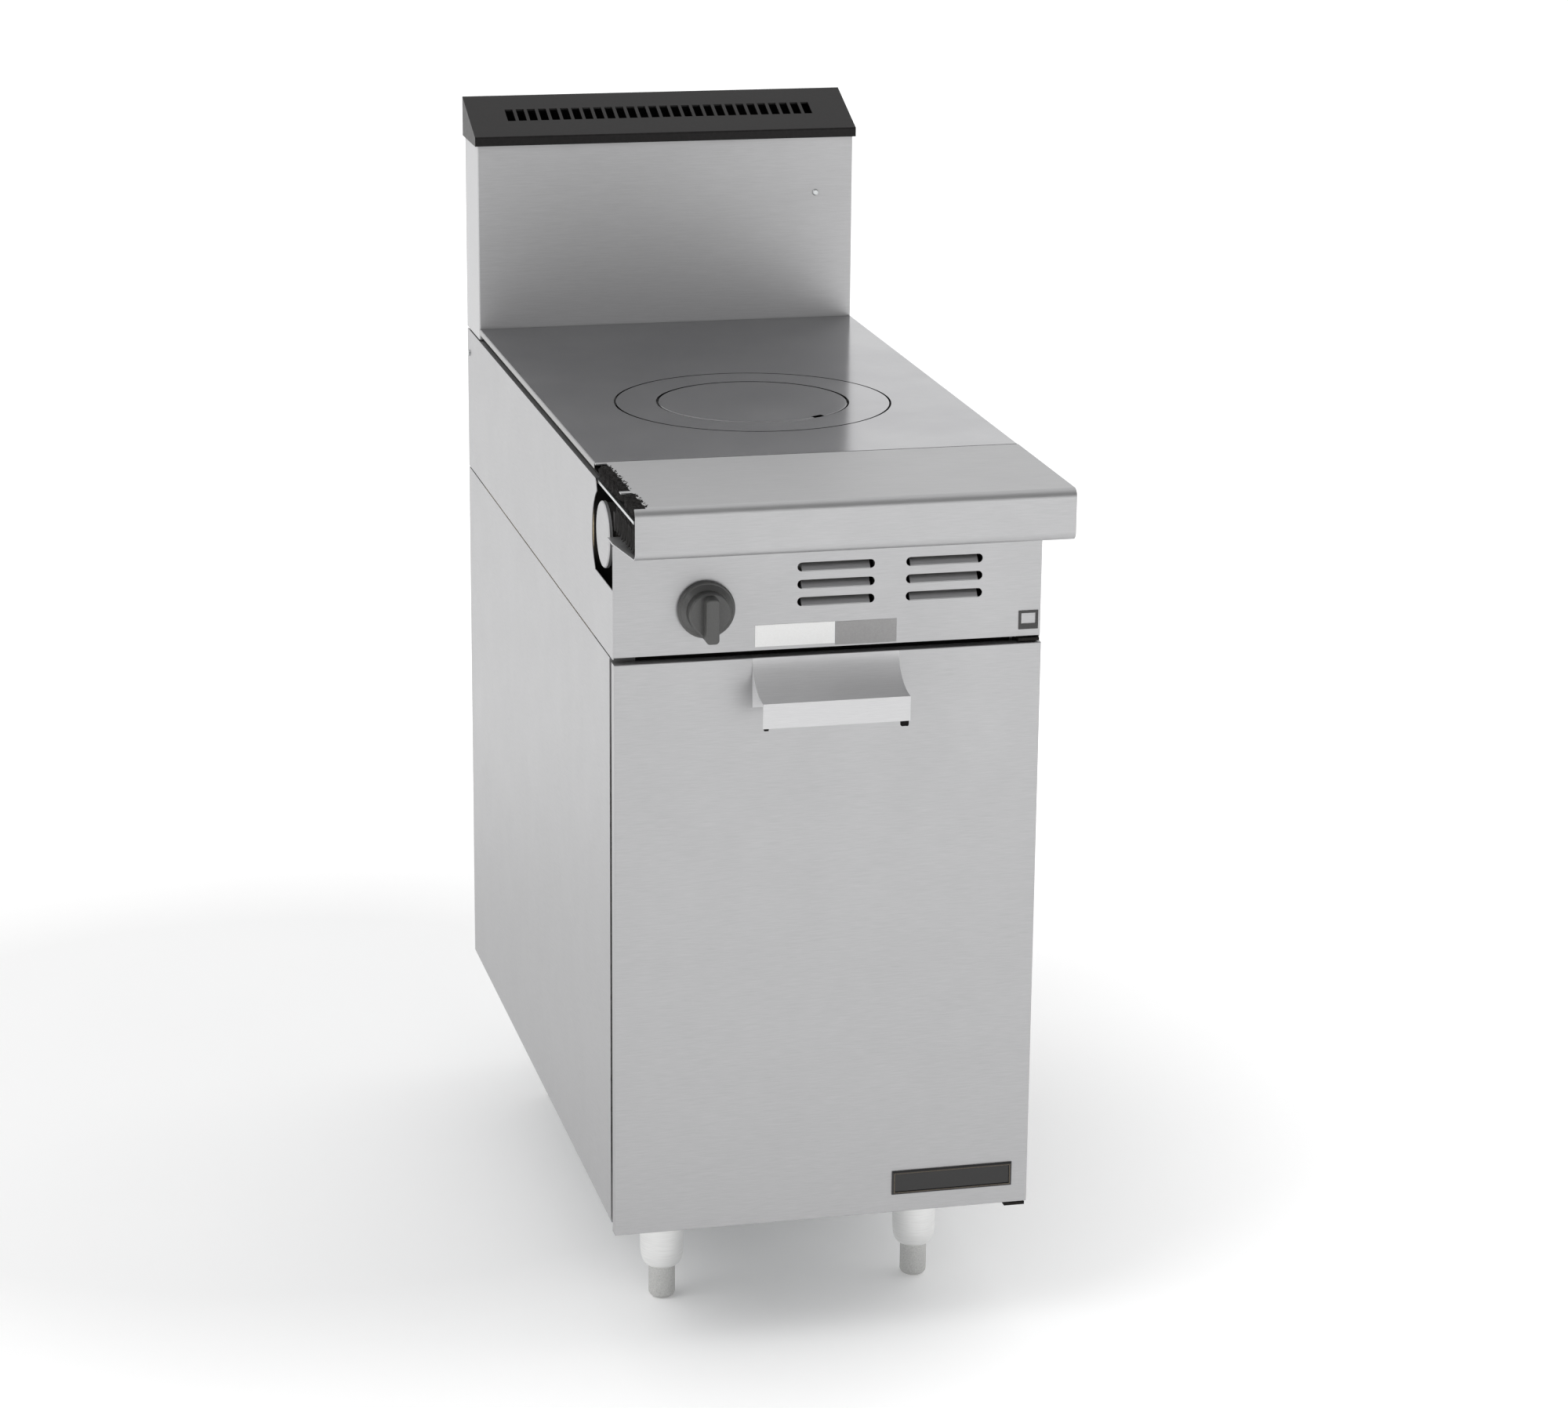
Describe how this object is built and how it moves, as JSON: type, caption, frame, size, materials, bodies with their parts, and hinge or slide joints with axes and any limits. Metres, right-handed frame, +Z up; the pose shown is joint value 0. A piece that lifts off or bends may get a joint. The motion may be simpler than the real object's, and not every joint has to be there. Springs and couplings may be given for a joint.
{
  "type": "heavy-duty hot plate range section",
  "caption": "Floor-standing stainless gas range section: cast hot plate with lift-out ring and lid, knob, louvred panel, storage cabinet with door, flue riser and legs.",
  "frame": {"origin": "on the floor, under the middle of the outer box", "axes": "+Z up and along the tallest extent, -Y towards the cook (door, knob and rail side), +X to the right seen from the front"},
  "size_m": [0.438, 0.965, 1.165],
  "materials": {
    "brushed_stainless": "satin brushed stainless sheet",
    "galvanised_sheet": "dull galvanised sheet",
    "zinc_plated_steel": "zinc plated fittings",
    "machined_cast_iron": "machined and seasoned cast iron",
    "raw_cast_iron": "rough cast iron",
    "black_pipe": "black steel pipe",
    "blackened_steel": "satin blackened steel",
    "black_enamel": "glossy black enamel",
    "nickel_plated_leg": "satin nickel plate",
    "grey_foot": "grey plated steel",
    "dark_grey_knob_plastic": "moulded heat-resistant plastic",
    "white_nylon": "moulded nylon",
    "black_badge": "moulded black plate",
    "white_label": "satin sticker",
    "grey_label": "satin sticker",
    "brass": "machined brass",
    "aluminium_tube": "drawn tube",
    "firebrick": "dry pressed firebrick",
    "black_rubber": "closed-cell strip"
  },
  "bodies": {
    "cabinet": {"back_panel": "galvanised_sheet", "base_pan": "galvanised_sheet", "burner": "raw_cast_iron", "burner_box_floor": "blackened_steel", "burner_supports": "galvanised_sheet", "cabinet_floor": "brushed_stainless", "corner_emblem": "black_badge", "firebox_liner": "firebrick", "flue_baffle": "galvanised_sheet", "flue_cap": "black_enamel", "front_rail": "brushed_stainless", "gas_valve": "brass", "hinge_bracket_bottom": "blackened_steel", "hinge_bracket_top": "blackened_steel", "hot_plate": "machined_cast_iron", "joint_seal": "black_rubber", "leg_bolts": "zinc_plated_steel", "leg_front_left": "nickel_plated_leg", "leg_front_right": "nickel_plated_leg", "leg_rear_left": "nickel_plated_leg", "leg_rear_right": "nickel_plated_leg", "magnet_catch": "galvanised_sheet", "manifold_cap": "raw_cast_iron", "manifold_collar": "raw_cast_iron", "manifold_end": "zinc_plated_steel", "manifold_pipe": "black_pipe", "notice_label": "grey_label", "orifice_fitting": "brass", "panel_screws": "zinc_plated_steel", "pilot_burner": "raw_cast_iron", "pilot_tube": "aluminium_tube", "plate_bearers": "blackened_steel", "rail_brackets": "zinc_plated_steel", "rating_label": "white_label", "riser_back": "galvanised_sheet", "riser_button": "zinc_plated_steel", "riser_shell": "brushed_stainless", "side_lower_left": "brushed_stainless", "side_lower_right": "brushed_stainless", "side_upper_left": "brushed_stainless", "side_upper_right": "brushed_stainless", "supply_tube": "aluminium_tube", "test_plug": "black_pipe", "valve_panel": "brushed_stainless"},
    "door": {"door_skin": "brushed_stainless", "door_liner": "galvanised_sheet", "hinge_blocks": "white_nylon", "door_handle": "brushed_stainless", "handle_screws": "zinc_plated_steel", "door_badge": "black_badge", "catch_strike": "zinc_plated_steel"},
    "knob": {"knob": "dark_grey_knob_plastic", "valve_stem": "zinc_plated_steel"},
    "air_shutter": {"air_shutter": "zinc_plated_steel"},
    "top_ring": {"top_ring": "machined_cast_iron"},
    "centre_lid": {"centre_lid": "machined_cast_iron"},
    "foot_front_left": {"foot_front_left": "grey_foot"},
    "foot_front_right": {"foot_front_right": "grey_foot"},
    "foot_rear_left": {"foot_rear_left": "grey_foot"},
    "foot_rear_right": {"foot_rear_right": "grey_foot"}
  },
  "joints": [
    {"name": "door_hinge", "type": "hinge", "parent": "cabinet", "child": "door", "pos_m": [0.208, -0.371, 0.435], "axis": [0, 0, 1], "range_deg": [0, 110]},
    {"name": "knob_turn", "type": "hinge", "parent": "cabinet", "child": "knob", "pos_m": [-0.124, -0.375, 0.785], "axis": [0, -1, 0], "range_deg": [0, 90]},
    {"name": "shutter_turn", "type": "hinge", "parent": "cabinet", "child": "air_shutter", "pos_m": [0, -0.2913, 0.785], "axis": [0, 1, 0], "range_deg": [0, 45]},
    {"name": "ring_lift", "type": "slide", "parent": "cabinet", "child": "top_ring", "axis": [0, 0, 1], "range_m": [0, 0.15]},
    {"name": "lid_lift", "type": "slide", "parent": "top_ring", "child": "centre_lid", "axis": [0, 0, 1], "range_m": [0, 0.15]},
    {"name": "foot_front_left_screw", "type": "slide", "parent": "cabinet", "child": "foot_front_left", "axis": [0, 0, -1], "range_m": [-0.015, 0.025]},
    {"name": "foot_front_right_screw", "type": "slide", "parent": "cabinet", "child": "foot_front_right", "axis": [0, 0, -1], "range_m": [-0.015, 0.025]},
    {"name": "foot_rear_left_screw", "type": "slide", "parent": "cabinet", "child": "foot_rear_left", "axis": [0, 0, -1], "range_m": [-0.015, 0.025]},
    {"name": "foot_rear_right_screw", "type": "slide", "parent": "cabinet", "child": "foot_rear_right", "axis": [0, 0, -1], "range_m": [-0.015, 0.025]}
  ]
}
